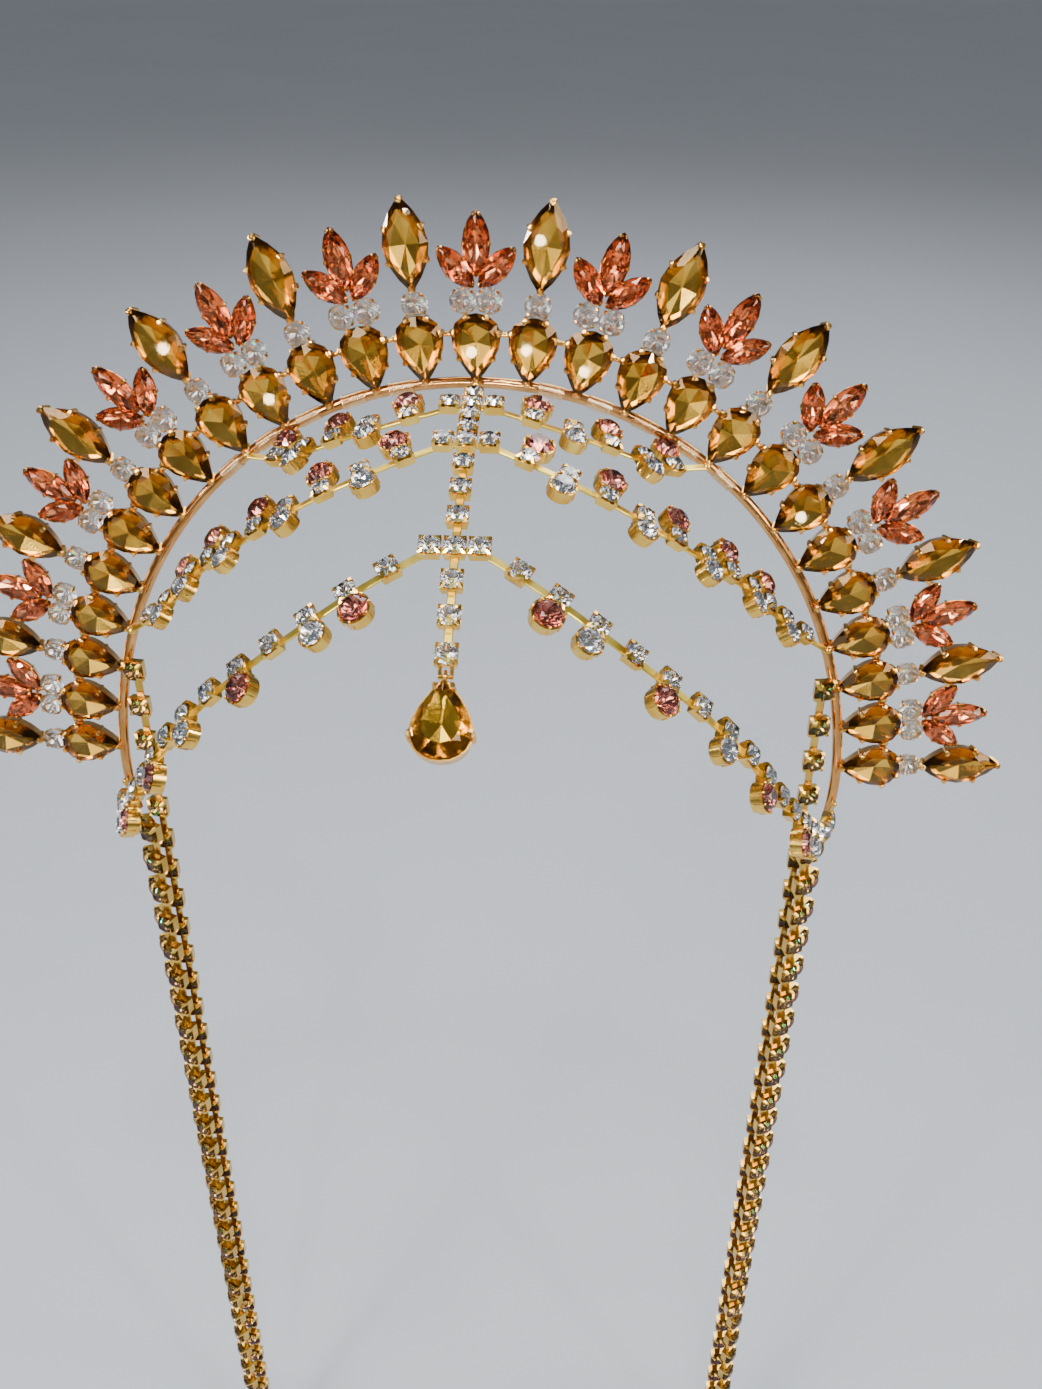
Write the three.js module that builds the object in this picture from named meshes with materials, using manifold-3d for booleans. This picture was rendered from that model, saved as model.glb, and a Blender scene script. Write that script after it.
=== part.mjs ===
// Rhinestone crown headpiece.
// A wire headband carries a fan of soldered motifs: a pear stone on the wire, then either
// one round and a large marquise, or two rounds and three petals. Three pairs of cup-chain
// swags, a centre chain with a pear pendant and two side fringes hang from the headband.
// Millimetres, +Z up, -Y to the front. The origin is under the headband's top, where it
// rests when it is worn.
import * as THREE from 'three';
import { mergeVertices } from 'three/addons/utils/BufferGeometryUtils.js';
import Module from 'manifold-3d';

const wasm = await Module();
wasm.setup();

// Headband: a half hoop of round wire that leans back, in arcs from its top to each end
const WIRE_RADIUS = 1.0;
const WIRE_SIDES = 6;
const WIRE_STEPS = 36;
const CROWN_LEAN = 6;
const WIRE_ARCS = [
  { radius: 69.5, turn: 47.5 },
  { radius: 77, turn: 21.5 },
  { radius: 95, turn: 17.5 },
  { radius: 60, turn: 15 },
];

// Fan of motifs: sizes over the setting, "from" is the distance out from the wire
const MOTIF_PITCH = 8.9;
const MOTIFS_EACH_SIDE = 13;
const PEAR = { form: 'pear', length: 12.2, width: 8.9, sides: 8, middle: 0.58, from: 0.1 };
const MARQUISE = { form: 'marquise', length: 15.9, width: 8.2, sides: 8, middle: 0.5, from: 16 };
const ROUND = { form: 'round', length: 4.6, width: 4.6, sides: 8, middle: 0.5, from: 11.7 };
const PETAL = { form: 'marquise', sides: 6, middle: 0.5 };
const ROUND_PAIR = { across: 2.25, from: 11.9 };
const PETAL_PLACES = [
  { length: 11, width: 4.9, across: 0, from: 18, turn: 0 },
  { length: 9.2, width: 4.4, across: -0.4, from: 16.3, turn: 43 },
  { length: 9.2, width: 4.4, across: 0.4, from: 16.3, turn: -43 },
];
const SOLDER_FLATNESS = 0.5;
const SOLDER_PLACES = [
  { radius: 2, from: 12.6, front: 0.7 },
  { radius: 2.4, from: 16.4, front: 0.7 },
];

// Settings and stones: heights are towards the front from the middle of the wire
const SETTING = { back: -1.7, rim: 1.3, wall: 0.55, floor: 0.5, taper: 0.85 };
const SMALL_SETTING = { back: -1.3, girdle: 0.9, table: 2.1 };
const STONE = { gap: 0.3, lift: 0.2, culet: 0.7, crown: 1.5, tableShare: 0.6 };

// Dome that the chains are bent to, at the middle of their stones
const DOME = { halfWidth: 66.5, halfDepth: 97, halfHeight: 86, y: -4.2, z: -84.6 };

// Cup chain: square cups on a flat bar, heights from the middle of the stones
const CUP = { size: 3.6, foot: 3.1, base: -1.2, rim: 0.8, table: 1.5, tableWidth: 2.2 };
const BAR = { width: 1.3, thick: 0.5, height: -0.8 };
const END_BEAD = { radius: 0.8, gap: 0.3 };
const DROPS = {
  pink: { form: 'round', length: 5.5, width: 5.5, sides: 8, middle: 0.5 },
  clear: { form: 'round', length: 4.8, width: 4.8, sides: 8, middle: 0.5 },
};
const DROP_CUP = { base: -1.8, rim: 1.0, table: 1.9, bite: 0.7 };

// Centre chain: close cups near the headband, then spaced ones; side cups make the tees
const CENTRE = { firstArc: 5.5, closePitch: 4.2, closeLinks: 4, pitch: 6.2, links: 12 };
const TEES = { upper: 1, middle: 4, lower: 8 };
const TEE_REACH = 3.8;

// Swags: points of one side from tee to headband, the motif they end at, and their drops,
// "up" towards the headband and "down" away from it, in an order that repeats. The upper
// pair, the finest, is a plain tube with the chain's outline
const SWAG_PITCH = 7.1;
const SWAG_START = 2.9;
const SWAG_TUBE = { sides: 8, steps: 9, shortBy: 1.2 };
const SWAGS = {
  upper: {
    route: [[10.5, -13.5, -0.2], [19, -13.4, -2.9], [27, -11.6, -6.5], [34, -7.5, -10.6]],
    endMotif: 5,
    tubeRadius: 1.4,
  },
  middle: {
    route: [[14.5, -28.3, -3.4], [26, -29.7, -8.7], [38, -27, -17.3], [48, -20.8, -26.5],
      [56.5, -13.5, -37]],
    endMotif: 10,
    drops: [['pink', 'up'], ['clear', 'down']],
    bareEnd: 1,
  },
  lower: {
    route: [[14.5, -52.5, -12.5], [26, -55.4, -20], [38, -55, -30.3], [47, -52, -41.2],
      [54.5, -46.5, -54], [61.5, -37.5, -66.5], [67.5, -25.5, -77]],
    endMotif: 13.9,
    drops: [null, ['pink', 'down'], ['clear', 'down'], null, ['pink', 'down'], null,
      ['clear', 'down'], null, ['pink', 'down'], null],
    bareEnd: 2,
  },
};

// Pendant on a pin across the end of the centre chain
const PENDANT = { form: 'pear', length: 12.7, width: 9.2, sides: 12, middle: 0.58, from: 0.6 };
const PENDANT_CUP = { back: -0.8, rim: 1.7, wall: 0.6, floor: 0.4, taper: 0.95 };
const PIN = { ahead: 3.2, below: 0.4, radius: 0.3, half: 1.05, sides: 8 };
const EAR = { inner: 0.65, thick: 0.4, height: 0.6, nose: 0.4, root: 1.7 };
const BAIL = { radius: 0.85, wire: 0.25, sides: 10, wireSides: 5 };

// Side fringes: strands hanging straight down from the headband's ends
const STRAND_RADIUS = 1.7;
const STRAND_SIDES = 8;
const STRANDS = [
  { x: 67.6, y: -8.2, top: -53.4, bottom: -321 },
  { x: 70.3, y: -9.6, top: -89.9, bottom: -310.3 },
  { x: 68.7, y: -12, top: -90.4, bottom: -257.1 },
];

const FINISHES = {
  gold: { color: 0xd9a441, metalness: 1, roughness: 0.22 },
  amber: { color: 0xc98a1e, metalness: 0, roughness: 0.05 },
  chain: { color: 0xe0c27a, metalness: 0.7, roughness: 0.2 },
};

const radians = THREE.MathUtils.degToRad;
const vector = (x, y, z) => new THREE.Vector3(x, y, z);

// Unit outlines from the angle round them: a tip or lowest point at y = 0, the far end at 1
const PEAR_BELLY = 0.77;
const OUTLINES = {
  round: (a) => [Math.sin(a) / 2, (1 - Math.cos(a)) / 2],
  marquise: (a) => [Math.sin(a) * Math.abs(Math.sin(a)) / 2, (1 - Math.cos(a)) / 2],
  pear: (a) => [Math.sin(a) * Math.sin(a / 2) / (2 * PEAR_BELLY), (1 - Math.cos(a)) / 2],
};

function outlineLevel(piece, height, inset = 0, share = 1) {
  const centre = piece.length * piece.middle;
  const points = [];
  for (let i = 0; i < piece.sides; i++) {
    const [u, v] = OUTLINES[piece.form](2 * Math.PI * i / piece.sides);
    const x = u * (piece.width - 2 * inset) * share;
    const y = centre + (v - piece.middle) * (piece.length - 2 * inset) * share;
    points.push(vector(x, y, height));
  }
  return points;
}

function polygonLevel(width, sides, height) {
  const radius = width / 2 / Math.cos(Math.PI / sides);
  const points = [];
  for (let i = 0; i < sides; i++) {
    const angle = Math.PI / 4 + 2 * Math.PI * i / sides;
    points.push(vector(radius * Math.cos(angle), radius * Math.sin(angle), height));
  }
  return points;
}

// Closed solid through levels of points, each anticlockwise seen from +z, or a single point
function loft(levels) {
  const faces = [];
  let first = 0;
  for (let k = 0; k + 1 < levels.length; k++) {
    const below = levels[k].length;
    const above = levels[k + 1].length;
    const next = first + below;
    let i = 0;
    let j = 0;
    while ((below > 1 && i < below) || (above > 1 && j < above)) {
      const stepBelow = above === 1 || (below > 1 && (i + 1) / below <= (j + 1) / above);
      if (stepBelow) {
        faces.push(first + i, first + (i + 1) % below, next + j % above);
        i++;
      } else {
        faces.push(first + i % below, next + (j + 1) % above, next + j);
        j++;
      }
    }
    first = next;
  }
  for (let i = 1; i + 1 < levels[0].length; i++) faces.push(0, i + 1, i);
  for (let i = 1; i + 1 < levels.at(-1).length; i++) faces.push(first, first + i, first + i + 1);
  const geometry = new THREE.BufferGeometry().setFromPoints(levels.flat());
  geometry.setIndex(faces);
  return geometry;
}

function settingCup(piece, cup) {
  return loft([
    outlineLevel(piece, cup.back, 0, cup.taper),
    outlineLevel(piece, cup.rim),
    outlineLevel(piece, cup.rim, cup.wall),
    [vector(0, piece.length * piece.middle, cup.back + cup.floor)],
  ]);
}

function cutStone(piece, cup) {
  const inset = cup.wall + STONE.gap;
  const girdle = cup.rim + STONE.lift;
  return loft([
    [vector(0, piece.length * piece.middle, cup.back + cup.floor + STONE.culet)],
    outlineLevel(piece, girdle, inset),
    outlineLevel(piece, girdle + STONE.crown, inset, STONE.tableShare),
  ]);
}

function smallSetStone(piece) {
  return loft([
    [vector(0, piece.length * piece.middle, SMALL_SETTING.back)],
    outlineLevel(piece, SMALL_SETTING.girdle),
    outlineLevel(piece, SMALL_SETTING.table, 0, STONE.tableShare),
  ]);
}

function chainCup() {
  return loft([
    polygonLevel(CUP.foot, 4, CUP.base),
    polygonLevel(CUP.size, 4, CUP.rim),
    polygonLevel(CUP.tableWidth, 8, CUP.table),
  ]);
}

function dropCup(piece) {
  return loft([
    [vector(0, piece.length * piece.middle, DROP_CUP.base)],
    outlineLevel(piece, DROP_CUP.rim),
    outlineLevel(piece, DROP_CUP.table, 0, STONE.tableShare),
  ]);
}

function roundShape(radius, sides) {
  const points = [];
  for (let i = 0; i < sides; i++) {
    const angle = 2 * Math.PI * i / sides;
    points.push(new THREE.Vector2(radius * Math.cos(angle), radius * Math.sin(angle)));
  }
  return new THREE.Shape(points);
}

function tube(path, radius, sides, steps) {
  const options = { steps, bevelEnabled: false, extrudePath: path };
  return new THREE.ExtrudeGeometry(roundShape(radius, sides), options);
}

// Flat bar between two points, its face towards "facing"
function flatBar(from, to, facing, width, thick) {
  const along = to.clone().sub(from);
  const bar = new THREE.BoxGeometry(along.length(), width, thick);
  const middle = from.clone().add(to).multiplyScalar(0.5);
  return bar.applyMatrix4(frameAt(middle, along.normalize(), facing));
}

// Matrix with x along a direction, z as near to "facing" as it goes
function frameAt(point, along, facing) {
  const across = facing.clone().cross(along).normalize();
  const out = along.clone().cross(across);
  return new THREE.Matrix4().makeBasis(along, across, out).setPosition(point);
}

function toSolid(geometry) {
  const bare = new THREE.BufferGeometry();
  bare.setAttribute('position', geometry.attributes.position);
  bare.setIndex(geometry.index);
  const merged = mergeVertices(bare);
  return new wasm.Manifold(new wasm.Mesh({
    numProp: 3,
    vertProperties: Float32Array.from(merged.attributes.position.array),
    triVerts: Uint32Array.from(merged.index.array),
  }));
}

function fuse(geometries) {
  let body = toSolid(geometries[0]);
  for (const geometry of geometries.slice(1)) body = body.add(toSolid(geometry));
  const mesh = body.getMesh();
  const fused = new THREE.BufferGeometry();
  fused.setAttribute('position', new THREE.BufferAttribute(mesh.vertProperties, 3));
  fused.setIndex(new THREE.BufferAttribute(mesh.triVerts, 1));
  return fused;
}

function addMesh(group, name, geometry, finish) {
  const mesh = new THREE.Mesh(geometry, new THREE.MeshStandardMaterial(FINISHES[finish]));
  mesh.name = name;
  group.add(mesh);
}

// Place on the headband, in its own upright plane, at a distance along it from the top
function wirePlace(distance) {
  const side = distance < 0 ? -1 : 1;
  let left = Math.abs(distance);
  let heading = 0;
  let x = 0;
  let z = WIRE_RADIUS;
  for (const arc of WIRE_ARCS) {
    const turned = Math.min(left / arc.radius, radians(arc.turn));
    x += arc.radius * (Math.sin(heading + turned) - Math.sin(heading));
    z -= arc.radius * (Math.cos(heading) - Math.cos(heading + turned));
    heading += turned;
    left -= arc.radius * turned;
  }
  return { point: vector(side * x, 0, z), heading: side * heading };
}

const WIRE_HALF_LENGTH = WIRE_ARCS.reduce((sum, arc) => sum + arc.radius * radians(arc.turn), 0);

class WireCurve extends THREE.Curve {
  getPoint(t, target = new THREE.Vector3()) {
    return target.copy(wirePlace((2 * t - 1) * WIRE_HALF_LENGTH).point);
  }
}

// Motif frame: x along the wire, y outwards from it, z to the front
function motifFrame(motif) {
  const { point, heading } = wirePlace(motif * MOTIF_PITCH);
  const along = vector(Math.cos(heading), 0, -Math.sin(heading));
  const outward = vector(Math.sin(heading), 0, Math.cos(heading));
  return new THREE.Matrix4().makeBasis(along, outward, vector(0, -1, 0)).setPosition(point);
}

function inMotif(geometry, motif, { across = 0, from = 0, front = 0, turn = 0 }) {
  const place = new THREE.Matrix4().makeRotationZ(radians(turn)).setPosition(across, from, front);
  return geometry.clone().applyMatrix4(motifFrame(motif).multiply(place));
}

const isMarquiseMotif = (motif) => motif % 2 !== 0;

function crownFrame() {
  const pieces = [tube(new WireCurve(), WIRE_RADIUS, WIRE_SIDES, WIRE_STEPS)];
  for (let motif = -MOTIFS_EACH_SIDE; motif <= MOTIFS_EACH_SIDE; motif++) {
    pieces.push(inMotif(settingCup(PEAR, SETTING), motif, PEAR));
    if (isMarquiseMotif(motif)) {
      pieces.push(inMotif(smallSetStone(ROUND), motif, ROUND));
      pieces.push(inMotif(settingCup(MARQUISE, SETTING), motif, MARQUISE));
    } else {
      for (const side of [-1, 1]) {
        const place = { across: side * ROUND_PAIR.across, from: ROUND_PAIR.from };
        pieces.push(inMotif(smallSetStone(ROUND), motif, place));
      }
      for (const place of PETAL_PLACES) {
        const petal = { ...PETAL, length: place.length, width: place.width };
        pieces.push(inMotif(smallSetStone(petal), motif, place));
      }
      for (const place of SOLDER_PLACES) {
        const solder = new THREE.OctahedronGeometry(place.radius).scale(1, 1, SOLDER_FLATNESS);
        pieces.push(inMotif(solder, motif, place));
      }
    }
  }
  return fuse(pieces);
}

const crown = new THREE.Group();
crown.rotation.x = -radians(CROWN_LEAN);
addMesh(crown, 'crown_frame', crownFrame(), 'gold');
let marquises = 0;
for (let motif = -MOTIFS_EACH_SIDE; motif <= MOTIFS_EACH_SIDE; motif++) {
  const label = String(motif + MOTIFS_EACH_SIDE + 1).padStart(2, '0');
  addMesh(crown, `pear_${label}`, inMotif(cutStone(PEAR, SETTING), motif, PEAR), 'amber');
  if (isMarquiseMotif(motif)) {
    marquises++;
    const name = `marquise_${String(marquises).padStart(2, '0')}`;
    addMesh(crown, name, inMotif(cutStone(MARQUISE, SETTING), motif, MARQUISE), 'amber');
  }
}
crown.updateMatrix();

// Direction straight out of the dome at a point
function domeNormal(point) {
  return vector(
    point.x / DOME.halfWidth ** 2,
    (point.y - DOME.y) / DOME.halfDepth ** 2,
    (point.z - DOME.z) / DOME.halfHeight ** 2,
  ).normalize();
}

// Front of the headband where a chain's end bead is held, near a motif
function wireFront(motif) {
  const { point } = wirePlace(motif * MOTIF_PITCH);
  point.y -= WIRE_RADIUS + END_BEAD.radius + END_BEAD.gap;
  return point.applyMatrix4(crown.matrix);
}

function endBead(point) {
  return new THREE.IcosahedronGeometry(END_BEAD.radius, 0).translate(point.x, point.y, point.z);
}

function centreCurve() {
  const points = [wireFront(0)];
  for (let tilt = 4; tilt <= 48; tilt += 4) {
    const y = DOME.y - DOME.halfDepth * Math.sin(radians(tilt));
    const z = DOME.z + DOME.halfHeight * Math.cos(radians(tilt));
    points.push(vector(0, y, z));
  }
  return new THREE.CatmullRomCurve3(points, false, 'catmullrom');
}

function curveFrame(curve, arc) {
  const share = arc / curve.getLength();
  const point = curve.getPointAt(share);
  return frameAt(point, curve.getTangentAt(share), domeNormal(point));
}

// Bars at the cups' feet, from each frame of a chain to the next
function chainBars(frames) {
  const bars = [];
  for (let i = 0; i + 1 < frames.length; i++) {
    const from = vector(0, 0, BAR.height).applyMatrix4(frames[i]);
    const to = vector(0, 0, BAR.height).applyMatrix4(frames[i + 1]);
    const facing = domeNormal(from.clone().lerp(to, 0.5));
    bars.push(flatBar(from, to, facing, BAR.width, BAR.thick));
  }
  return bars;
}

const centre = centreCurve();
const centreFrames = [];
for (let i = 0; i < CENTRE.links; i++) {
  const close = Math.min(i, CENTRE.closeLinks);
  const arc = CENTRE.firstArc + close * CENTRE.closePitch + (i - close) * CENTRE.pitch;
  centreFrames.push(curveFrame(centre, arc));
}

function teeCup(tee, side) {
  const reach = new THREE.Matrix4().makeTranslation(0, side * TEE_REACH, 0);
  return centreFrames[TEES[tee]].clone().multiply(reach);
}

function centreChain() {
  const start = new THREE.Matrix4().setPosition(wireFront(0));
  const pieces = [endBead(wireFront(0)), ...chainBars([start, ...centreFrames])];
  for (const frame of centreFrames) pieces.push(chainCup().applyMatrix4(frame));
  for (const tee of Object.keys(TEES)) {
    const sides = [teeCup(tee, -1), teeCup(tee, 1)];
    for (const frame of sides) pieces.push(chainCup().applyMatrix4(frame));
    pieces.push(...chainBars(sides));
  }
  const last = centreFrames.at(-1);
  for (const side of [-1, 1]) {
    const ear = new THREE.BoxGeometry(EAR.root + EAR.nose, EAR.thick, EAR.height);
    const x = PIN.ahead + (EAR.nose - EAR.root) / 2;
    ear.translate(x, side * (EAR.inner + EAR.thick / 2), -PIN.below);
    pieces.push(ear.applyMatrix4(last));
  }
  const pin = new THREE.CylinderGeometry(PIN.radius, PIN.radius, 2 * PIN.half, PIN.sides);
  pieces.push(pin.translate(PIN.ahead, 0, -PIN.below).applyMatrix4(last));
  return fuse(pieces);
}

// One side's swag from its tee to the headband
function swagCurve(name, side) {
  const plan = SWAGS[name];
  const points = [vector().setFromMatrixPosition(teeCup(name, side))];
  for (const [x, y, z] of plan.route) points.push(vector(side * x, y, z));
  points.push(wireFront(side * plan.endMotif));
  return new THREE.CatmullRomCurve3(points, false, 'catmullrom');
}

function swagTube(name, side) {
  const { tubeRadius } = SWAGS[name];
  const whole = swagCurve(name, side);
  const length = whole.getLength();
  const points = [];
  for (let i = 0; i <= SWAG_TUBE.steps; i++) {
    const from = SWAG_START + tubeRadius;
    const arc = from + (length - SWAG_TUBE.shortBy - from) * i / SWAG_TUBE.steps;
    points.push(whole.getPointAt(arc / length));
  }
  const path = new THREE.CatmullRomCurve3(points, false, 'catmullrom');
  return tube(path, tubeRadius, SWAG_TUBE.sides, SWAG_TUBE.steps);
}

function swagChain(name, side) {
  const plan = SWAGS[name];
  const curve = swagCurve(name, side);
  const length = curve.getLength();
  const links = Math.floor((length - CUP.size) / SWAG_PITCH);
  const frames = [];
  for (let i = 1; i <= links; i++) frames.push(curveFrame(curve, i * SWAG_PITCH));
  const start = curveFrame(curve, SWAG_START);
  const end = curve.getPoint(1);
  const lastFoot = vector(0, 0, BAR.height).applyMatrix4(frames.at(-1));
  const pieces = [...chainBars([start, ...frames]), endBead(end)];
  pieces.push(flatBar(lastFoot, end, domeNormal(end), BAR.width, BAR.thick));
  frames.forEach((frame, i) => {
    pieces.push(chainCup().applyMatrix4(frame));
    const drop = plan.drops[i % plan.drops.length];
    if (drop && i < links - plan.bareEnd) pieces.push(swagDrop(frame, side, ...drop));
  });
  return fuse(pieces);
}

// Round drop beside a swag's cup, on its upper or lower edge
function swagDrop(frame, side, stone, edge) {
  const piece = DROPS[stone];
  const reach = edge === 'up' ? side : -side;
  const drop = dropCup(piece).translate(0, CUP.size / 2 - DROP_CUP.bite, 0);
  if (reach < 0) drop.rotateZ(Math.PI);
  return drop.applyMatrix4(frame);
}

function fringe(side) {
  const strands = STRANDS.map(({ x, y, top, bottom }) => {
    const path = new THREE.LineCurve3(vector(side * x, y, top), vector(side * x, y, bottom));
    return tube(path, STRAND_RADIUS, STRAND_SIDES, 1);
  });
  return fuse(strands);
}

const headpiece = new THREE.Group();
headpiece.add(crown);
addMesh(headpiece, 'centre_chain', centreChain(), 'chain');
for (const [label, side] of [['left', -1], ['right', 1]]) {
  for (const name of Object.keys(SWAGS)) {
    const shape = SWAGS[name].tubeRadius ? swagTube(name, side) : swagChain(name, side);
    addMesh(headpiece, `swag_${name}_${label}`, shape, 'chain');
  }
  addMesh(headpiece, `fringe_${label}`, fringe(side), 'chain');
}

// The pendant's own frame: x across, y down the chain, z out, with its origin on the pin
const pendant = new THREE.Group();
const pinFrame = centreFrames.at(-1).clone();
pinFrame.multiply(new THREE.Matrix4().makeTranslation(PIN.ahead, 0, -PIN.below));
pinFrame.multiply(new THREE.Matrix4().makeRotationZ(-Math.PI / 2));
pinFrame.decompose(pendant.position, pendant.quaternion, pendant.scale);
const bail = new THREE.TorusGeometry(BAIL.radius, BAIL.wire, BAIL.wireSides, BAIL.sides);
bail.rotateY(Math.PI / 2);
const pendantCup = settingCup(PENDANT, PENDANT_CUP).translate(0, PENDANT.from, 0);
const pendantStone = cutStone(PENDANT, PENDANT_CUP).translate(0, PENDANT.from, 0);
addMesh(pendant, 'pendant_setting', fuse([pendantCup, bail]), 'gold');
addMesh(pendant, 'pendant_stone', pendantStone, 'amber');
headpiece.add(pendant);

export default headpiece;
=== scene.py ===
"""Rhinestone crown headpiece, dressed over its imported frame. Sizes are in millimetres."""
import math

import bmesh
import bpy
import numpy as np
from mathutils import Matrix, Quaternion, Vector


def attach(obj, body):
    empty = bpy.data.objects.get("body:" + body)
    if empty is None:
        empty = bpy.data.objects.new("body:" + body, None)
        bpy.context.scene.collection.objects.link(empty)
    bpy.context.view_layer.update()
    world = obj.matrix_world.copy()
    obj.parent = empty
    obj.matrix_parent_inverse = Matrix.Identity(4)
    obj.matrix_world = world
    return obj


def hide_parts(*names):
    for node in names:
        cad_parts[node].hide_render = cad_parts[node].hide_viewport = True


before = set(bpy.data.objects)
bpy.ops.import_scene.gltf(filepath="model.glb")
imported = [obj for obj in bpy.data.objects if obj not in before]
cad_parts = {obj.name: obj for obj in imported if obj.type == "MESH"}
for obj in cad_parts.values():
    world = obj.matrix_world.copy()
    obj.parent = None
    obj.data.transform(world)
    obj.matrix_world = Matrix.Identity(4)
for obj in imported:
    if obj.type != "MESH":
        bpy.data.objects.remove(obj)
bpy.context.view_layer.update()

# Headband: a half hoop of spring wire with a copper-gold plating, bent in arcs from its
# top to each end and leaning back a little. The whole crown is soldered to it.
MM = 0.001
WIRE_RADIUS = 1.0
WIRE_SIDES = 14
WIRE_STEPS = 160
WIRE_ARCS = ((69.5, 47.5), (77, 21.5), (95, 17.5), (60, 15))
WIRE_GOLD = {"tones": ((0.50, 0.22, 0.06), (0.74, 0.38, 0.13)), "roughness": 0.16}
PLATING = {"cloud_scale": 260, "cloud_detail": 4, "tone_stops": (0.32, 0.68), "gloss": (0.7, 1.5),
           "hairline_scale": 2400, "hairline_strength": 0.12, "hairline_depth": 0.00005}
CROWN_LEAN = Matrix.Rotation(math.radians(-6), 4, "X")
wire_half_length = sum(radius * math.radians(turn) for radius, turn in WIRE_ARCS)


def headband_place(distance):
    """Frame on the wire at a distance from its top: x along it, y outwards, z to the front."""
    side = -1 if distance < 0 else 1
    left, heading, x, z = abs(distance), 0.0, 0.0, WIRE_RADIUS
    for radius, turn in WIRE_ARCS:
        turned = min(left / radius, math.radians(turn))
        x += radius * (math.sin(heading + turned) - math.sin(heading))
        z -= radius * (math.cos(heading) - math.cos(heading + turned))
        heading += turned
        left -= radius * turned
    across, drop = math.cos(heading), side * math.sin(heading)
    rows = ((across, drop, 0, side * x), (0, 0, -1, 0), (-drop, across, 0, z), (0, 0, 0, 1))
    return CROWN_LEAN @ Matrix(rows)


def new_tree(name, inputs):
    """Empty node tree with a geometry socket at each end and named inputs for its sizes."""
    tree = bpy.data.node_groups.new(name, "GeometryNodeTree")
    tree.interface.new_socket("Geometry", in_out="INPUT", socket_type="NodeSocketGeometry")
    for label, kind in inputs:
        tree.interface.new_socket(label, in_out="INPUT", socket_type=f"NodeSocket{kind}")
    tree.interface.new_socket("Geometry", in_out="OUTPUT", socket_type="NodeSocketGeometry")
    return tree, tree.nodes.new("NodeGroupInput"), tree.nodes.new("NodeGroupOutput")


def grow(name, source, tree, values):
    """New object whose plain mesh is what a tree makes of a source mesh."""
    piece = bpy.data.objects.new(name, source)
    bpy.context.scene.collection.objects.link(piece)
    modifier = piece.modifiers.new(tree.name, "NODES")
    modifier.node_group = tree
    for socket in tree.interface.items_tree:
        if socket.in_out == "INPUT" and socket.name in values:
            modifier[socket.identifier] = values[socket.name]
    evaluated = piece.evaluated_get(bpy.context.evaluated_depsgraph_get())
    mesh = bpy.data.meshes.new_from_object(evaluated)
    piece.modifiers.clear()
    piece.data = mesh
    mesh.name = name
    return piece


def wire_tree():
    """Round wire drawn along the edges of a path."""
    inputs = (("Radius", "Float"), ("Sides", "Int"), ("Finish", "Material"))
    tree, start, end = new_tree("drawn_wire", inputs)
    link = tree.links.new
    path = tree.nodes.new("GeometryNodeMeshToCurve")
    section = tree.nodes.new("GeometryNodeCurvePrimitiveCircle")
    sweep = tree.nodes.new("GeometryNodeCurveToMesh")
    smooth = tree.nodes.new("GeometryNodeSetShadeSmooth")
    realize = tree.nodes.new("GeometryNodeRealizeInstances")
    finish = tree.nodes.new("GeometryNodeSetMaterial")
    sweep.inputs["Fill Caps"].default_value = True
    link(start.outputs["Geometry"], path.inputs["Mesh"])
    link(start.outputs["Radius"], section.inputs["Radius"])
    link(start.outputs["Sides"], section.inputs["Resolution"])
    link(path.outputs["Curve"], sweep.inputs["Curve"])
    link(section.outputs["Curve"], sweep.inputs["Profile Curve"])
    link(sweep.outputs["Mesh"], smooth.inputs["Geometry"])
    link(smooth.outputs["Geometry"], realize.inputs["Geometry"])
    link(realize.outputs["Geometry"], finish.inputs["Geometry"])
    link(start.outputs["Finish"], finish.inputs["Material"])
    link(finish.outputs["Geometry"], end.inputs["Geometry"])
    return tree


def wire_paths(name, paths):
    """Mesh of open paths, each a list of points."""
    points, edges = [], []
    for path in paths:
        first = len(points)
        points += [Vector(point) * MM for point in path]
        edges += [(i, i + 1) for i in range(first, len(points) - 1)]
    mesh = bpy.data.meshes.new(name)
    mesh.from_pydata(points, edges, [])
    return mesh


def new_material(name):
    """Material with its nodes, their links and its shader."""
    material = bpy.data.materials.new(name)
    material.use_nodes = True
    nodes = material.node_tree.nodes
    return material, nodes, material.node_tree.links, nodes["Principled BSDF"]


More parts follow.
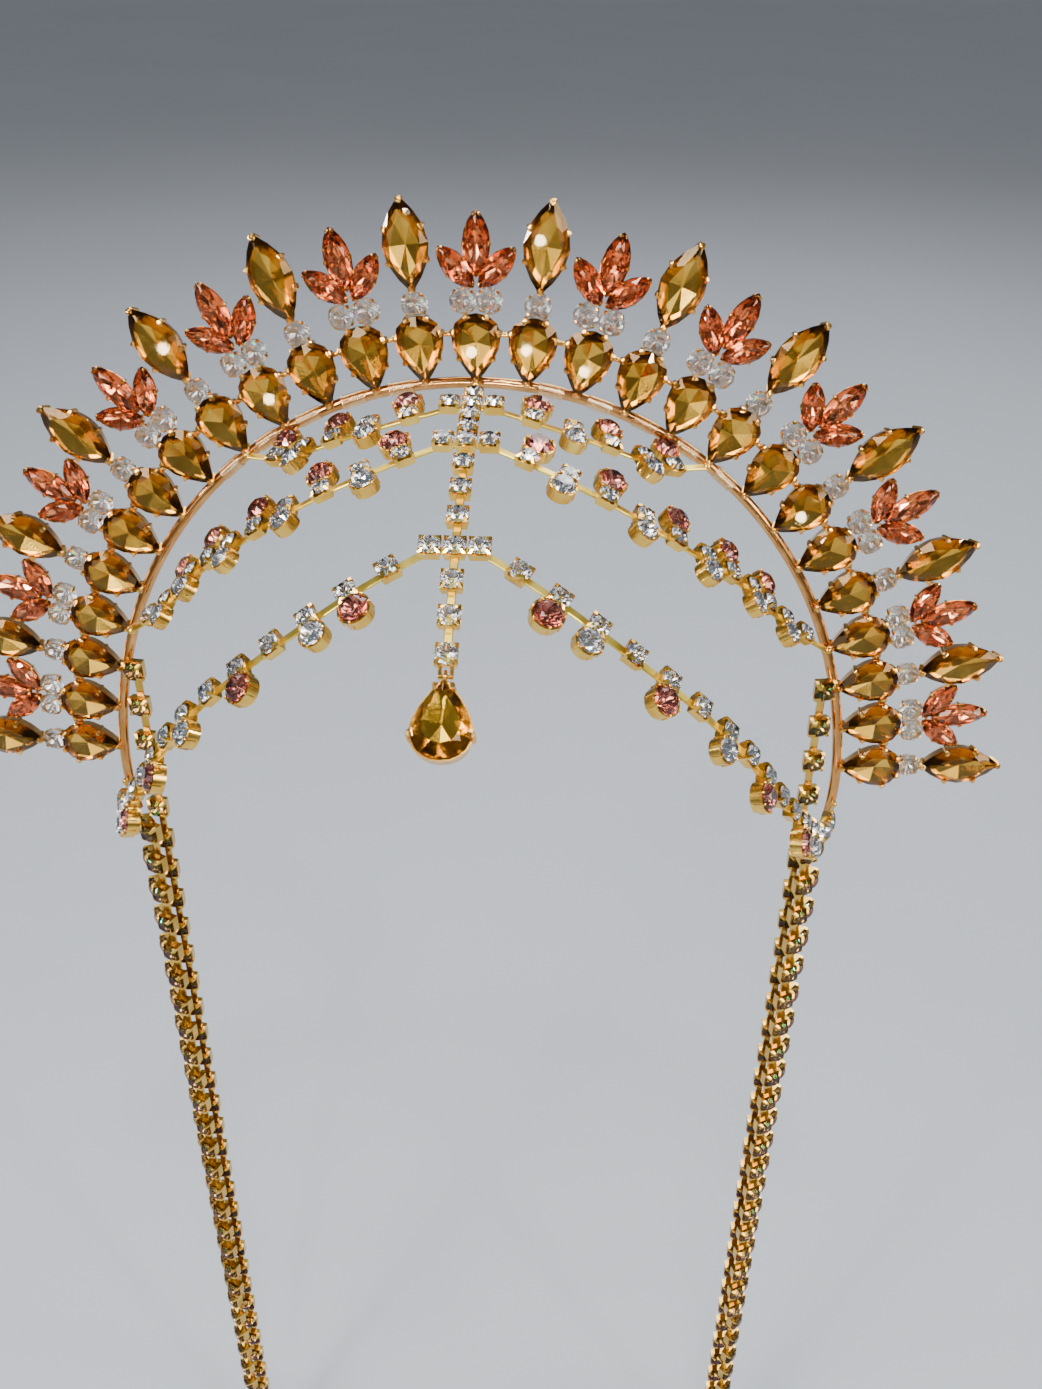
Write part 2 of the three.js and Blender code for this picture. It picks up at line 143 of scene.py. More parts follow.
def plated_metal(name, finish):
    """Polished plating that is a little uneven in colour and gloss, with fine hairlines."""
    material, nodes, links, shader = new_material(name)
    shader.inputs["Metallic"].default_value = 1.0
    place = nodes.new("ShaderNodeTexCoord")
    cloud = nodes.new("ShaderNodeTexNoise")
    cloud.inputs["Scale"].default_value = PLATING["cloud_scale"]
    cloud.inputs["Detail"].default_value = PLATING["cloud_detail"]
    tone = nodes.new("ShaderNodeValToRGB")
    for stop, colour, at in zip(tone.color_ramp.elements, finish["tones"], PLATING["tone_stops"]):
        stop.position = at
        stop.color = (*colour, 1)
    gloss = nodes.new("ShaderNodeMapRange")
    for end, share in zip(("To Min", "To Max"), PLATING["gloss"]):
        gloss.inputs[end].default_value = finish["roughness"] * share
    hairline = nodes.new("ShaderNodeTexNoise")
    hairline.inputs["Scale"].default_value = PLATING["hairline_scale"]
    relief = nodes.new("ShaderNodeBump")
    relief.inputs["Strength"].default_value = PLATING["hairline_strength"]
    relief.inputs["Distance"].default_value = PLATING["hairline_depth"]
    links.new(place.outputs["Object"], cloud.inputs["Vector"])
    links.new(place.outputs["Object"], hairline.inputs["Vector"])
    links.new(cloud.outputs["Fac"], tone.inputs["Fac"])
    links.new(cloud.outputs["Fac"], gloss.inputs["Value"])
    links.new(hairline.outputs["Fac"], relief.inputs["Height"])
    links.new(tone.outputs["Color"], shader.inputs["Base Color"])
    links.new(gloss.outputs["Result"], shader.inputs["Roughness"])
    links.new(relief.outputs["Normal"], shader.inputs["Normal"])
    return material


drawn_wire = wire_tree()
wire_gold = plated_metal("wire_gold", WIRE_GOLD)
wire_steps = [wire_half_length * (2 * i / WIRE_STEPS - 1) for i in range(WIRE_STEPS + 1)]
wire_line = [headband_place(distance).translation for distance in wire_steps]
headband = grow("headband_wire", wire_paths("headband_line", [wire_line]), drawn_wire,
                {"Radius": WIRE_RADIUS * MM, "Sides": WIRE_SIDES, "Finish": wire_gold})
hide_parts("crown_frame")
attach(headband, "crown")

# Wrapping: thin bright wire wound tightly round the headband between the feet of
# neighbouring pears, which ties the fan to it. The middle and the two sides are bare.
MOTIF_PITCH = 8.9
MOTIFS_EACH_SIDE = 13
WRAP_RADIUS = 0.17
WRAP_SIDES = 5
WRAP_SEAT = 0.8
WRAP_HALF_LENGTH = 2.2
WRAP_TURN_PITCH = 0.36
WRAP_POINTS_PER_TURN = 9
WRAPPED_MOTIFS = (1.2, 6.0)
BRIGHT_GOLD = {"tones": ((0.92, 0.56, 0.24), (1.0, 0.74, 0.42)), "roughness": 0.14}


def wrap_line(middle):
    """Helix round the headband, centred at a distance along it."""
    turns = 2 * WRAP_HALF_LENGTH / WRAP_TURN_PITCH
    count = int(turns * WRAP_POINTS_PER_TURN)
    reach = WIRE_RADIUS + WRAP_RADIUS * WRAP_SEAT
    line = []
    for i in range(count + 1):
        place = headband_place(middle + WRAP_HALF_LENGTH * (2 * i / count - 1))
        angle = 2 * math.pi * turns * i / count
        line.append(place @ Vector((0, reach * math.cos(angle), reach * math.sin(angle))))
    return line


between_motifs = [i + 0.5 for i in range(-MOTIFS_EACH_SIDE, MOTIFS_EACH_SIDE)]
wrap_lines = []
for middle in between_motifs:
    if WRAPPED_MOTIFS[0] < abs(middle) < WRAPPED_MOTIFS[1]:
        wrap_lines.append(wrap_line(middle * MOTIF_PITCH))
bright_gold = plated_metal("bright_gold", BRIGHT_GOLD)
wrapping = grow("wire_wrapping", wire_paths("wrapping_line", wrap_lines), drawn_wire,
                {"Radius": WRAP_RADIUS * MM, "Sides": WRAP_SIDES, "Finish": bright_gold})
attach(wrapping, "crown")

# Pears: amber glass cut with a table and foiled behind, in stamped cups with bead-ended
# claws. They stand on the headband with their points down, one in every motif.
PEAR = {"form": "pear", "length": 12.2, "width": 8.9, "middle": 0.58}
PEAR_FROM = 0.1
PEAR_POINTS = 8
PEAR_CLAWS = (0.34, 1.25, 2.05, 2.8)
PEAR_BELLY = 0.77
CROWN_CUP = {"sides": 24, "back": -1.7, "rim": 0.9, "inset": 0.3, "wall": 0.45, "floor": 0.5, "taper": 0.85}
CROWN_STONE = {"inset": 0.1, "culet": 0.25, "girdle": 1.35, "table": 2.35, "table_share": 0.64, "keel": 0}
STAR = {"height": 0.62, "reach": 0.45}
KEEL_DEPTH = 1.15
CLAW = {"radius": 0.42, "bead": 0.66, "over": 0.95, "lift": 0.55}
CLAW_BEND = {"foot": 0.6, "edge": 0.1, "top": 0.15, "neck": 0.6, "bead": 0.25, "tip": 0.45}
CLAW_SIDES = 6
OUTLINE_STEP = 0.01
SETTING_CREASE = math.radians(42)
SETTING_GOLD = {"tones": ((0.76, 0.34, 0.05), (0.94, 0.55, 0.14)), "roughness": 0.17}
GLASS = {"ior": 1.56, "smear_scale": 420, "smear": 0.04}
# The amber's bevel colour is a painted shade: a darker rim that stands in for the cup mirrored in the glass.
AMBER = {"tones": ((0.76, 0.54, 0.20), (0.88, 0.68, 0.36)), "bevel_painted_shade": (0.62, 0.27, 0.03),
         "glint": (0.90, 0.64, 0.36), "film": 0}
AMBER_FOIL = {"tones": ((0.84, 0.58, 0.12), (0.94, 0.74, 0.22)), "roughness": 0.1}


def outline(piece, share):
    """Point of a stone's outline, as far round it as share says, from its tip or foot."""
    angle = 2 * math.pi * (share % 1)
    u = math.sin(angle) / 2
    if piece["form"] == "pear":
        u *= math.sin(angle / 2) / PEAR_BELLY
    elif piece["form"] == "marquise":
        u *= abs(math.sin(angle)) ** piece["point"]
    return u, (1 - math.cos(angle)) / 2


def ring(piece, count, height, inset=0.0, scale=1.0, shift=0.0):
    """Points round a stone's outline at one height, drawn in by inset and scaled."""
    points = []
    for i in range(count):
        u, v = outline(piece, (i + shift) / count)
        x = u * (piece["width"] - 2 * inset) * scale
        y = piece["length"] * piece["middle"]
        y += (v - piece["middle"]) * (piece["length"] - 2 * inset) * scale
        points.append(Vector((x, y, height)))
    return points


def shape(name, parts, marks=None):
    """Mesh of closed parts, each its points and faces. Marks name some of the faces."""
    points, faces = [], []
    for part_points, part_faces in parts:
        first = len(points)
        points += [Vector(point) * MM for point in part_points]
        faces += [[first + i for i in face] for face in part_faces]
    mesh = bpy.data.meshes.new(name)
    mesh.from_pydata(points, [], faces)
    for label, marked in (marks or {}).items():
        mark = mesh.attributes.new(label, "BOOLEAN", "FACE")
        for i in marked:
            mark.data[i].value = True
    work = bmesh.new()
    work.from_mesh(mesh)
    bmesh.ops.recalc_face_normals(work, faces=work.faces)
    work.to_mesh(mesh)
    work.free()
    return mesh


def skin(rings):
    """Closed part through rings of equal counts, with a cap on the first and on the last."""
    points, faces = [point for level in rings for point in level], []
    count = len(rings[0])
    last = len(points) - count
    for low in range(0, last, count):
        high = low + count
        for i in range(count):
            j = (i + 1) % count
            faces.append((low + i, low + j, high + j, high + i))
    return points, faces + [tuple(range(count)), tuple(range(last, len(points)))]


def rod(path, radii, sides):
    """Closed bar along a path, with a radius at each of its points."""
    path = [Vector(point) for point in path]
    rings = []
    for i, point in enumerate(path):
        along = (path[min(i + 1, len(path) - 1)] - path[max(i - 1, 0)]).normalized()
        side = along.orthogonal() if i == 0 else side - along * side.dot(along)
        side.normalize()
        up = along.cross(side)
        angles = [2 * math.pi * k / sides for k in range(sides)]
        rings.append([point + radii[i] * (side * math.cos(a) + up * math.sin(a)) for a in angles])
    return skin(rings)


def stamped_cup(piece, cup):
    """Thin-walled cup with a floor, open to the front."""
    sides, outside, inside = cup["sides"], cup["inset"], cup["inset"] + cup["wall"]
    rings = [
        ring(piece, sides, cup["back"], outside, cup["taper"]),
        ring(piece, sides, cup["rim"], outside),
        ring(piece, sides, cup["rim"], inside),
        ring(piece, sides, cup["back"] + cup["floor"], inside, cup["taper"]),
    ]
    return skin(rings)


def claw(piece, share, cup, girdle, claw_size):
    """Claw up the side of a cup, bent over the stone and ending in a bead."""
    before, after = (Vector((*outline(piece, share + step), 0)) for step in (-OUTLINE_STEP, OUTLINE_STEP))
    step = after - before
    out = Vector((step.y * piece["length"], -step.x * piece["width"], 0)).normalized()
    foot = ring(piece, 1, cup["back"] * CLAW_BEND["foot"], cup["inset"], (1 + cup["taper"]) / 2, share)[0]
    edge = ring(piece, 1, girdle, 0, 1, share)[0]
    top = edge + Vector((0, 0, claw_size["lift"]))
    end = top - out * claw_size["over"]
    path = [foot, edge - out * CLAW_BEND["edge"], top - out * CLAW_BEND["top"]]
    path += [end.lerp(top, CLAW_BEND["neck"]), end.lerp(top, CLAW_BEND["bead"]), end]
    thick, ball = claw_size["radius"], claw_size["bead"]
    return rod(path, [thick, thick, thick, ball, ball, ball * CLAW_BEND["tip"]], CLAW_SIDES)


def setting(name, piece, cup, girdle, claw_angles, claw_size):
    """Cup with mirrored pairs of claws, given by their angles from the tip."""
    parts = [stamped_cup(piece, cup)]
    for angle in claw_angles:
        for side in (-1, 1):
            parts.append(claw(piece, side * angle / (2 * math.pi), cup, girdle, claw_size))
    mesh = shape(name, parts)
    mesh.shade_smooth()
    mesh.set_sharp_from_angle(angle=SETTING_CREASE)
    return mesh


def cut_stone(name, piece, cut, points):
    """Stone with a table, stars, kites and girdle facets, over a pointed pavilion with foil.

    A keel is the share of the outline where the pavilion's facets are split in two.
    """
    girdle, table, culet = cut["girdle"], cut["table"], cut["culet"]
    inset, share, keel_share = cut["inset"], cut["table_share"], cut["keel"]
    star_height = girdle + STAR["height"] * (table - girdle)
    star_share = STAR["reach"] + (1 - STAR["reach"]) * share
    vertices = ring(piece, points, table, inset, share)
    vertices += ring(piece, points, star_height, inset, star_share, 0.5)
    vertices += ring(piece, 2 * points, girdle, inset)
    vertices += [Vector((0, piece["length"] * piece["middle"], culet))]
    if keel_share:
        keel_height = girdle + KEEL_DEPTH * (1 - keel_share) * (culet - girdle)
        vertices += ring(piece, points, keel_height, inset, keel_share, 0.5)
    star, edge, tip, keel = points, 2 * points, 4 * points, 4 * points + 1
    crown, pavilion = [tuple(range(points))], []
    for i in range(points):
        j, back = (i + 1) % points, (i - 1) % points
        here, half, there = edge + 2 * i, edge + 2 * i + 1, edge + 2 * j
        crown.append((i, star + i, j))
        crown.append((i, star + back, here, star + i))
        crown += [(star + i, here, half), (star + i, half, there)]
        if keel_share:
            pavilion += [(keel + i, half, here), (keel + i, there, half)]
            pavilion.append((tip, keel + i, here, keel + back))
        else:
            pavilion += [(here, there, half), (tip, there, here)]
    backed = range(len(crown), len(crown) + len(pavilion))
    # The bevel mark picks the crown's facets round the table, which the glass gives a painted shade.
    marks = {"foil": backed, "bevel_painted_shade": range(1, len(crown))}
    return shape(name, [(vertices, crown + pavilion)], marks)


def named_attribute(tree, name, kind):
    """Socket of an attribute that a tree reads from its points or faces."""
    node = tree.nodes.new("GeometryNodeInputNamedAttribute")
    node.data_type = kind
    node.inputs["Name"].default_value = name
    return node.outputs["Attribute"]


def setting_out_tree():
    """One piece set at every place, turned and stretched as the place says."""
    inputs = (("Piece", "Object"), ("Seed", "Int"), ("Finish", "Material"), ("Foil", "Material"))
    tree, start, end = new_tree("setting_out", inputs)
    link = tree.links.new
    piece = tree.nodes.new("GeometryNodeObjectInfo")
    copies = tree.nodes.new("GeometryNodeInstanceOnPoints")
    chance = tree.nodes.new("FunctionNodeRandomValue")
    tint = tree.nodes.new("GeometryNodeStoreNamedAttribute")
    tint.data_type = "FLOAT"
    tint.domain = "INSTANCE"
    tint.inputs["Name"].default_value = "tint"
    realize = tree.nodes.new("GeometryNodeRealizeInstances")
    finish = tree.nodes.new("GeometryNodeSetMaterial")
    foil = tree.nodes.new("GeometryNodeSetMaterial")
    chance_value = next(s for s in chance.outputs if s.type == "VALUE")
    link(start.outputs["Piece"], piece.inputs["Object"])
    link(start.outputs["Geometry"], copies.inputs["Points"])
    link(piece.outputs["Geometry"], copies.inputs["Instance"])
    link(named_attribute(tree, "turn", "QUATERNION"), copies.inputs["Rotation"])
    link(named_attribute(tree, "stretch", "FLOAT_VECTOR"), copies.inputs["Scale"])
    link(start.outputs["Seed"], chance.inputs["Seed"])
    link(copies.outputs["Instances"], tint.inputs["Geometry"])
    link(chance_value, tint.inputs["Value"])
    link(tint.outputs["Geometry"], realize.inputs["Geometry"])
    link(realize.outputs["Geometry"], finish.inputs["Geometry"])
    link(start.outputs["Finish"], finish.inputs["Material"])
    link(finish.outputs["Geometry"], foil.inputs["Geometry"])
    link(named_attribute(tree, "foil", "BOOLEAN"), foil.inputs["Selection"])
    link(start.outputs["Foil"], foil.inputs["Material"])
    link(foil.outputs["Geometry"], end.inputs["Geometry"])
    return tree


def set_out(name, mesh, places, finish, foil=None, stretches=None, seed=1):
    """Object with a copy of a mesh at each place, stretched along its axes where asked."""
    sites = bpy.data.meshes.new(name)
    sites.from_pydata([place.translation * MM for place in places], [], [])
    turn = sites.attributes.new("turn", "QUATERNION", "POINT")
    for i, place in enumerate(places):
        turn.data[i].value = place.to_quaternion()
    stretch = sites.attributes.new("stretch", "FLOAT_VECTOR", "POINT")
    for i in range(len(places)):
        stretch.data[i].vector = stretches[i] if stretches else (1, 1, 1)
    if not mesh.materials:
        mesh.materials.append(finish)
    pattern = bpy.data.objects.new(f"{name}_pattern", mesh)
    bpy.context.scene.collection.objects.link(pattern)
    values = {"Piece": pattern, "Seed": seed, "Finish": finish, "Foil": foil or finish}
    piece = grow(name, sites, setting_out, values)
    bpy.data.objects.remove(pattern)
    return piece


def cut_glass(name, glass):
    """Clear facets of a cut stone; no two are quite alike, and the bevels round a table carry a painted
    shade, a darker tint that stands in for the metal cup mirrored in them.

    A glint is the colour of what the facets mirror, and a film the thickness of a rainbow coating.
    """
    material, nodes, links, shader = new_material(name)
    shader.inputs["Transmission Weight"].default_value = 1.0
    shader.inputs["IOR"].default_value = GLASS["ior"]
    shader.inputs["Specular Tint"].default_value = (*glass["glint"], 1)
    shader.inputs["Thin Film Thickness"].default_value = glass["film"]
    tint = nodes.new("ShaderNodeAttribute")
    tint.attribute_name = "tint"
    tone = nodes.new("ShaderNodeValToRGB")
    for stop, colour in zip(tone.color_ramp.elements, glass["tones"]):
        stop.color = (*colour, 1)
    # Painted shade: the bevel facets are mixed towards a darker colour that stands in for the cup mirrored
    # in the glass.
    bevel_shade_mask = nodes.new("ShaderNodeAttribute")
    bevel_shade_mask.attribute_name = "bevel_painted_shade"
    painted_bevel_shade = nodes.new("ShaderNodeMix")
    painted_bevel_shade.data_type = "RGBA"
    painted_bevel_shade.inputs["B"].default_value = (*glass["bevel_painted_shade"], 1)
    place = nodes.new("ShaderNodeTexCoord")
    smear = nodes.new("ShaderNodeTexNoise")
    smear.inputs["Scale"].default_value = GLASS["smear_scale"]
    gloss = nodes.new("ShaderNodeMapRange")
    gloss.inputs["To Max"].default_value = GLASS["smear"]
    links.new(tint.outputs["Fac"], tone.inputs["Fac"])
    links.new(place.outputs["Object"], smear.inputs["Vector"])
    links.new(smear.outputs["Fac"], gloss.inputs["Value"])
    links.new(bevel_shade_mask.outputs["Fac"], painted_bevel_shade.inputs["Factor"])
    links.new(tone.outputs["Color"], painted_bevel_shade.inputs["A"])
    links.new(painted_bevel_shade.outputs["Result"], shader.inputs["Base Color"])
    links.new(gloss.outputs["Result"], shader.inputs["Roughness"])
    return material


setting_out = setting_out_tree()
setting_gold = plated_metal("setting_gold", SETTING_GOLD)
amber_glass = cut_glass("amber_glass", AMBER)
amber_foil = plated_metal("amber_foil", AMBER_FOIL)
motifs = range(-MOTIFS_EACH_SIDE, MOTIFS_EACH_SIDE + 1)


def in_motif(motif, across=0.0, outward=0.0, turn=0.0):
    """Frame of a piece in a motif, turned in the fan's plane."""
    place = headband_place(motif * MOTIF_PITCH) @ Matrix.Translation((across, outward, 0))
    return place @ Matrix.Rotation(math.radians(turn), 4, "Z")


pear_places = [in_motif(motif, outward=PEAR_FROM) for motif in motifs]
pear_setting = setting("pear_setting", PEAR, CROWN_CUP, CROWN_STONE["girdle"], PEAR_CLAWS, CLAW)
pear_settings = set_out("pear_settings", pear_setting, pear_places, setting_gold)
pear_stone = cut_stone("pear_stone", PEAR, CROWN_STONE, PEAR_POINTS)
pears = set_out("pears", pear_stone, pear_places, amber_glass, amber_foil, seed=3)
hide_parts(*[f"pear_{i + 1:02d}" for i in range(len(motifs))])
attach(pear_settings, "crown")
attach(pears, "crown")

# Ties: short gold bars soldered between the flanks of neighbouring pears, where these are
# widest, which stiffen the fan.
TIE_FROM = 8.4
TIE_FRONT = 0.2
TIE_RADIUS = 0.45
TIE_SIDES = 8
TIE_STEPS = 4
TIE_BITE = 3.9


def tie_bar(motif):
    """Bar from one pear's flank to the next one's."""
    here, there = in_motif(motif), in_motif(motif + 1)
    start = here @ Vector((TIE_BITE, TIE_FROM, TIE_FRONT))
    finish = there @ Vector((-TIE_BITE, TIE_FROM, TIE_FRONT))
    return [start.lerp(finish, i / TIE_STEPS) for i in range(TIE_STEPS + 1)]


tie_lines = [tie_bar(motif) for motif in motifs[:-1]]
ties = grow("pear_ties", wire_paths("tie_lines", tie_lines), drawn_wire,
            {"Radius": TIE_RADIUS * MM, "Sides": TIE_SIDES, "Finish": setting_gold})
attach(ties, "crown")

# Marquises: large amber navettes in claw cups, one at the end of every other motif, on
# the far side of a single clear round.
MARQUISE = {"form": "marquise", "length": 15.9, "width": 8.2, "middle": 0.5, "point": 1}
MARQUISE_FROM = 16.0
MARQUISE_POINTS = 8
MARQUISE_CLAWS = (0.3, 1.2, 1.95, 2.85)
tall_motifs = [motif for motif in motifs if motif % 2]
marquise_places = [in_motif(motif, outward=MARQUISE_FROM) for motif in tall_motifs]
marquise_setting = setting("marquise_setting", MARQUISE, CROWN_CUP, CROWN_STONE["girdle"],
                           MARQUISE_CLAWS, CLAW)
marquise_settings = set_out("marquise_settings", marquise_setting, marquise_places, setting_gold)
marquise_stone = cut_stone("marquise_stone", MARQUISE, CROWN_STONE, MARQUISE_POINTS)
marquises = set_out("marquises", marquise_stone, marquise_places, amber_glass, amber_foil, seed=5)
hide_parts(*[f"marquise_{i + 1:02d}" for i in range(len(tall_motifs))])
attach(marquise_settings, "crown")
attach(marquises, "crown")

# Rounds: small clear crystals with a faint rainbow coating, one under each marquise and a
# pair under each flower, held by four small claws.
ROUND = {"form": "round", "length": 4.6, "width": 4.6, "middle": 0.5}
ROUND_FROM = 11.7
ROUND_PAIR_FROM = 11.9
ROUND_PAIR_ACROSS = 2.25
ROUND_CUP = {"sides": 16, "back": -1.3, "rim": 0.3, "inset": 0.2, "wall": 0.4, "floor": 0.4, "taper": 0.7}
ROUND_STONE = {"inset": -0.1, "culet": -1.0, "girdle": 0.8, "table": 1.9, "table_share": 0.58, "keel": 0.5}
ROUND_POINTS = 8
ROUND_CLAWS = (0.8, 2.35)
SMALL_CLAW = {"radius": 0.26, "bead": 0.4, "over": 0.45, "lift": 0.4}
WHITE = (1.0, 1.0, 1.0)
CRYSTAL = {"tones": ((0.96, 0.98, 1.0), WHITE), "bevel_painted_shade": WHITE, "glint": WHITE, "film": 420}
AURORA_FOIL = {"tones": ((0.97, 0.98, 1.0), WHITE), "roughness": 0.17}
flower_motifs = [motif for motif in motifs if motif % 2 == 0]
round_places = [in_motif(motif, outward=ROUND_FROM) for motif in tall_motifs]
for motif in flower_motifs:
    round_places += [in_motif(motif, side * ROUND_PAIR_ACROSS, ROUND_PAIR_FROM) for side in (-1, 1)]
crystal = cut_glass("crystal", CRYSTAL)
aurora_foil = plated_metal("aurora_foil", AURORA_FOIL)
round_setting = setting("round_setting", ROUND, ROUND_CUP, ROUND_STONE["girdle"], ROUND_CLAWS, SMALL_CLAW)
round_settings = set_out("round_settings", round_setting, round_places, setting_gold)
round_stone = cut_stone("round_stone", ROUND, ROUND_STONE, ROUND_POINTS)
rounds = set_out("round_stones", round_stone, round_places, crystal, aurora_foil, seed=7)
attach(round_settings, "crown")
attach(rounds, "crown")

# Petals: three small salmon-pink navettes make the flower of every other motif, spread
# like a fan over a pair of rounds, each in six fine claws.
PETAL = {"form": "marquise", "length": 11, "width": 4.9, "middle": 0.5, "point": 0.6}
PETAL_PLACES = (
    {"length": 11, "width": 4.9, "across": 0, "from": 18, "turn": 0},
    {"length": 9.2, "width": 4.4, "across": -0.4, "from": 16.3, "turn": 43},
    {"length": 9.2, "width": 4.4, "across": 0.4, "from": 16.3, "turn": -43},
)
PETAL_CUP = {"sides": 18, "back": -1.3, "rim": 0.3, "inset": 0.15, "wall": 0.4, "floor": 0.4, "taper": 0.75}
PETAL_STONE = {"inset": 0.0, "culet": -1.0, "girdle": 0.8, "table": 1.9, "table_share": 0.6, "keel": 0}
PETAL_POINTS = 8
PETAL_CLAWS = (0.45, 1.57, 2.7)
# The salmon's bevel colour is a painted shade: a darker rim that stands in for the cup mirrored in the
# glass.
SALMON = {"tones": ((1.0, 0.52, 0.34), (1.0, 0.70, 0.54)), "bevel_painted_shade": (1.0, 0.52, 0.33),
          "glint": (1.0, 0.66, 0.55), "film": 0}
SALMON_FOIL = {"tones": ((1.0, 0.48, 0.27), (1.0, 0.68, 0.46)), "roughness": 0.1}
petal_places, petal_stretches = [], []
for motif in flower_motifs:
    for petal in PETAL_PLACES:
        petal_places.append(in_motif(motif, petal["across"], petal["from"], petal["turn"]))
        petal_stretches.append((petal["width"] / PETAL["width"], petal["length"] / PETAL["length"], 1))
salmon_glass = cut_glass("salmon_glass", SALMON)
salmon_foil = plated_metal("salmon_foil", SALMON_FOIL)
petal_setting = setting("petal_setting", PETAL, PETAL_CUP, PETAL_STONE["girdle"], PETAL_CLAWS, SMALL_CLAW)
petal_settings = set_out("petal_settings", petal_setting, petal_places, setting_gold,
                         stretches=petal_stretches)
petal_stone = cut_stone("petal_stone", PETAL, PETAL_STONE, PETAL_POINTS)
petals = set_out("petal_stones", petal_stone, petal_places, salmon_glass, salmon_foil,
                 petal_stretches, seed=9)
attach(petal_settings, "crown")
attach(petals, "crown")

# Centre chain: square brass cups with clear stones on flat links, from the headband down
# the middle of the front. Cups on both sides of three of its links make the tees.
DOME = {"half": (66.5, 97, 86), "middle": (0, -4.2, -84.6)}
CUP = {"size": 3.5, "foot": 3.0, "base": -1.2, "rim": 0.3, "wall": 0.35, "claw": 0.6}
CUP_CLAW_LEVELS = ((1, 0, 1), (1, 0.8, 0.9), (2.4, 1.3, 0.7))
CORNERS = ((1, 1), (-1, 1), (-1, -1), (1, -1))
CHAIN_STONE_FORM = {"form": "round", "length": 3.6, "width": 3.6, "middle": 0.5}
CHAIN_STONE = {"inset": 0, "culet": -0.8, "girdle": 0.75, "table": 1.5, "table_share": 0.58, "keel": 0.5}
CHAIN_STONE_POINTS = 8
BAR = {"width": 1.3, "thick": 0.5, "height": -0.8}
BAR_CORNER = ((1, 0.5), (0.8, 1))
END_BEAD = {"radius": 0.8, "gap": 0.3, "sides": 10}
BEAD_PROFILE = ((-0.95, 0.3), (-0.6, 0.8), (0, 1), (0.6, 0.8), (0.95, 0.3))
BEAD_CREASE = math.radians(40)
CENTRE = {"first": 5.5, "close_pitch": 4.2, "close_links": 4, "pitch": 6.2, "links": 12}
CENTRE_TILTS = range(4, 49, 4)
TEES = {"upper": 1, "middle": 4, "lower": 8}
TEE_REACH = 3.8
PIN = {"ahead": 3.2, "below": 0.4, "radius": 0.3, "half": 1.05, "sides": 10}
EAR = {"across": 0.85, "radius": 0.3, "root": 1.6, "nose": 0.35, "sides": 8}
CHAIN_GOLD = {"tones": ((0.74, 0.41, 0.05), (0.94, 0.63, 0.14)), "roughness": 0.18}
LINK_BRASS = {"tones": ((0.66, 0.47, 0.05), (0.84, 0.65, 0.13)), "roughness": 0.3}
CLEAR = {"tones": ((0.93, 0.95, 0.97), WHITE), "bevel_painted_shade": WHITE, "glint": WHITE, "film": 0}
CLEAR_FOIL = {"tones": ((0.95, 0.97, 1.0), WHITE), "roughness": 0.08}


def dome_normal(point):
    """Direction straight out of the dome that the chains are bent to."""
    half, middle = DOME["half"], DOME["middle"]
    return Vector([(p - m) / h ** 2 for p, m, h in zip(point, middle, half)]).normalized()


def facing_place(point, along, facing):
    """Frame with x along a direction and z as near to facing as it goes."""
    along = along.normalized()
    across = facing.cross(along).normalized()
    out = along.cross(across)
    return Matrix.Translation(point) @ Matrix((along, across, out)).transposed().to_4x4()


class ChainLine:
    """Smooth line through points, measured along its length."""

    STEPS = 30
    REACH = 0.05

    def __init__(self, points):
        points = np.array(points, float)
        points = np.vstack([2 * points[0] - points[1], points, 2 * points[-1] - points[-2]])
        t = np.linspace(0, 1, self.STEPS, endpoint=False)[:, None]
        spans = []
        for a, b, c, d in zip(points, points[1:], points[2:], points[3:]):
            spans.append(b + t * (c - a) / 2 + t ** 2 * (a - 2.5 * b + 2 * c - d / 2)
                         + t ** 3 * (1.5 * (b - c) + (d - a) / 2))
        self.points = np.vstack([*spans, points[-2]])
        self.arcs = np.append(0, np.cumsum(np.linalg.norm(np.diff(self.points, axis=0), axis=1)))
        self.length = self.arcs[-1]

    def point(self, arc):
        """Point at a distance along the line."""
        return Vector([np.interp(arc, self.arcs, axis) for axis in self.points.T])

    def place(self, arc):
        """Frame at a distance along the line, facing straight out of the dome."""
        along = self.point(min(arc + self.REACH, self.length)) - self.point(max(arc - self.REACH, 0))
        return facing_place(self.point(arc), along, dome_normal(self.point(arc)))


def headband_front(motif):
    """Where a chain's end bead is held, on the front of the headband."""
    reach = WIRE_RADIUS + END_BEAD["radius"] + END_BEAD["gap"]
    return headband_place(motif * MOTIF_PITCH) @ Vector((0, 0, reach))


def square(width, height, x=0.0, y=0.0):
    """Corners of a level square, about the cup's axis or beside it."""
    half = width / 2
    return [Vector((x + u * half, y + v * half, height)) for u, v in CORNERS]


def chain_cup():
    """Square cup with a claw folded in from each corner."""
    parts = [skin([
        square(CUP["foot"], CUP["base"]),
        square(CUP["size"], CUP["rim"]),
        square(CUP["size"] - 2 * CUP["wall"], CUP["rim"]),
        square(CUP["foot"] - 2 * CUP["wall"], CUP["base"] + CUP["wall"]),
    ])]
    for x, y in CORNERS:
        levels = []
        for inset, height, share in CUP_CLAW_LEVELS:
            reach = (CUP["size"] - CUP["claw"] * inset) / 2
            levels.append(square(CUP["claw"] * share, height, x * reach, y * reach))
        parts.append(skin(levels))
    return shape("chain_cup", parts)


